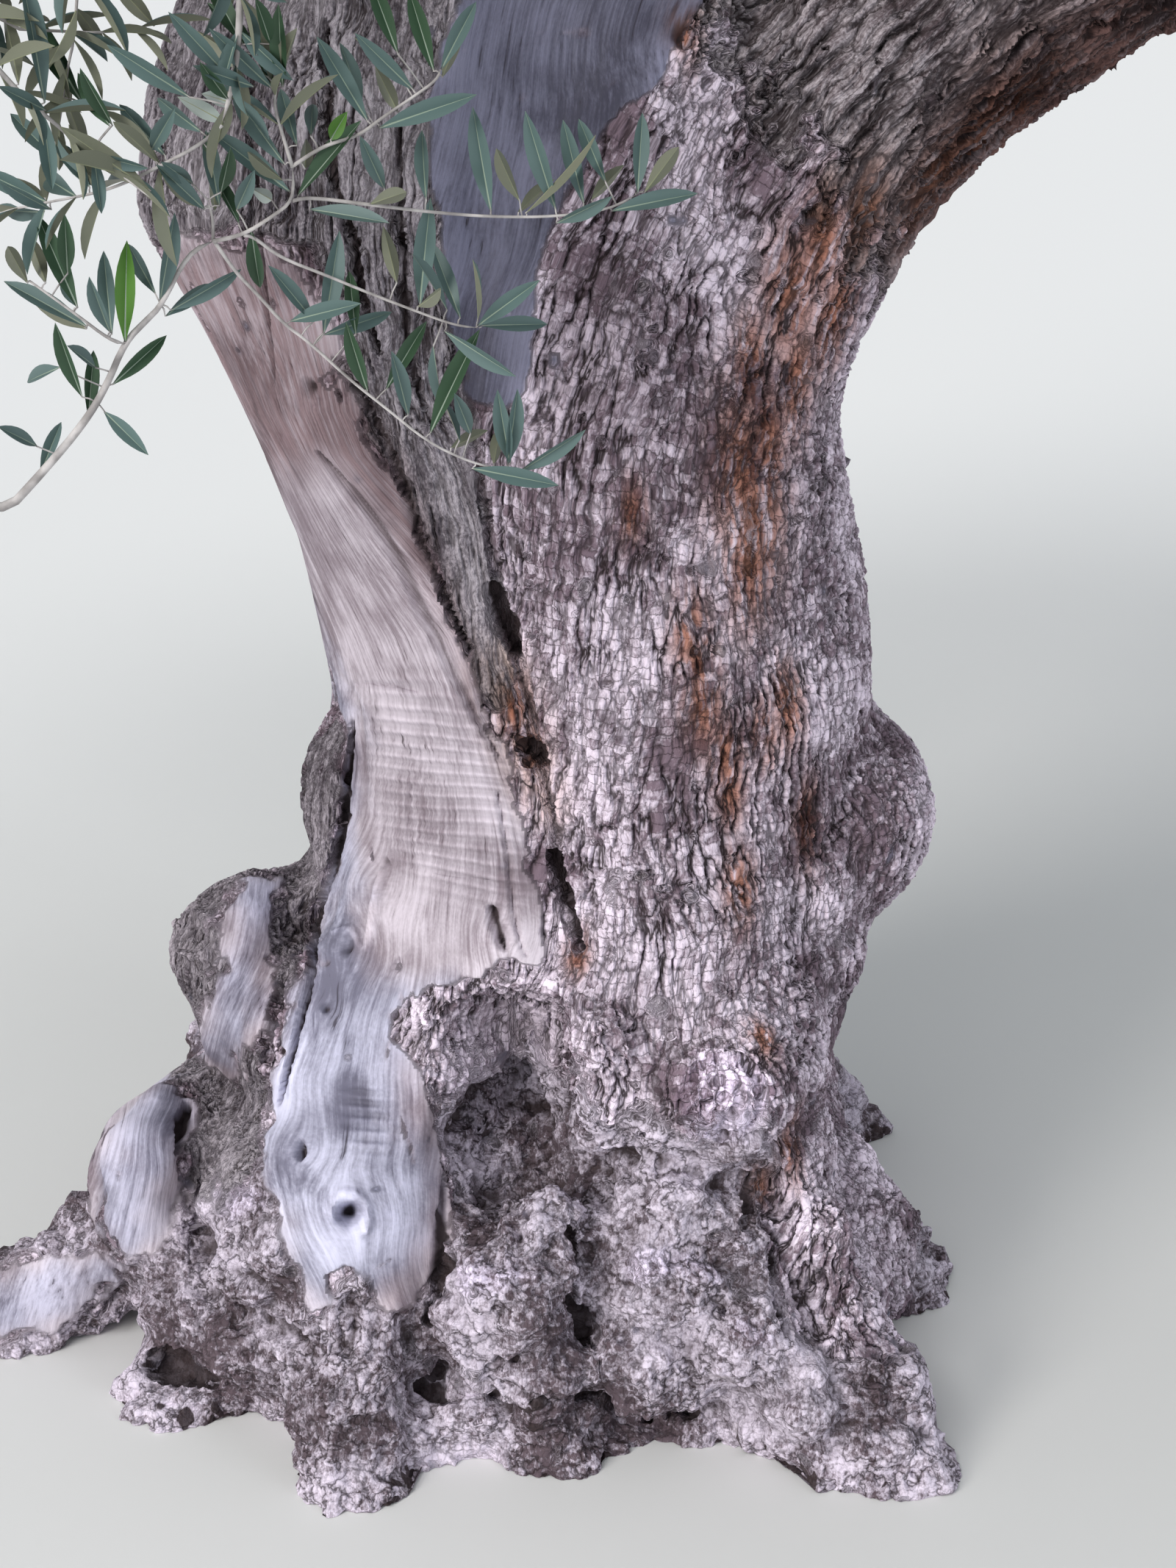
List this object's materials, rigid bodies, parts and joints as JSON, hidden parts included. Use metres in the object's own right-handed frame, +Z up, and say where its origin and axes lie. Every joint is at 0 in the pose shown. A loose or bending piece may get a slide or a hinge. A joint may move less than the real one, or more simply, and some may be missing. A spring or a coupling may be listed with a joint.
{
  "type": "olive tree",
  "caption": "Old rooted olive tree: short flaring trunk with burls and bare dead wood, forking into great limbs, boughs and open masses of narrow grey-green leaves.",
  "frame": {"origin": "on the flat cut at ground level, under the middle of the trunk's waist", "axes": "+Z up, +X towards the side that the great bough leans to, -Y the front, which carries the bare wood"},
  "size_m": [3.8113, 3.7165, 3.881],
  "materials": {
    "bark": "rough cracked bark with smooth weathered bare wood",
    "bough_bark": "rough bark",
    "foliage": "satin leaves, dull grey-green above and paler below"
  },
  "bodies": {
    "root": {"trunk": "bark", "right_bough": "bough_bark", "left_leader": "bough_bark", "centre_leader": "bough_bark", "right_riser": "bough_bark", "skirt_bough_east": "bough_bark", "skirt_bough_north_east": "bough_bark", "skirt_bough_south_east": "bough_bark", "skirt_bough_north": "bough_bark", "skirt_bough_north_west": "bough_bark", "skirt_bough_south_west": "bough_bark", "skirt_bough_south": "bough_bark", "shoulder_bough_east": "bough_bark", "shoulder_bough_south_east": "bough_bark", "shoulder_bough_north": "bough_bark", "shoulder_bough_west": "bough_bark", "shoulder_bough_south_west": "bough_bark", "top_bough_west": "bough_bark", "top_bough_east": "bough_bark", "hanging_bough": "bough_bark", "foliage_skirt_east": "foliage", "foliage_skirt_north_east": "foliage", "foliage_skirt_north": "foliage", "foliage_skirt_north_west": "foliage", "foliage_skirt_south_west": "foliage", "foliage_skirt_south": "foliage", "foliage_skirt_south_east": "foliage", "foliage_shoulder_east": "foliage", "foliage_shoulder_north": "foliage", "foliage_shoulder_west": "foliage", "foliage_shoulder_south_west": "foliage", "foliage_shoulder_south_east": "foliage", "foliage_top_west": "foliage", "foliage_top_east": "foliage", "foliage_hanging": "foliage"}
  },
  "joints": []
}
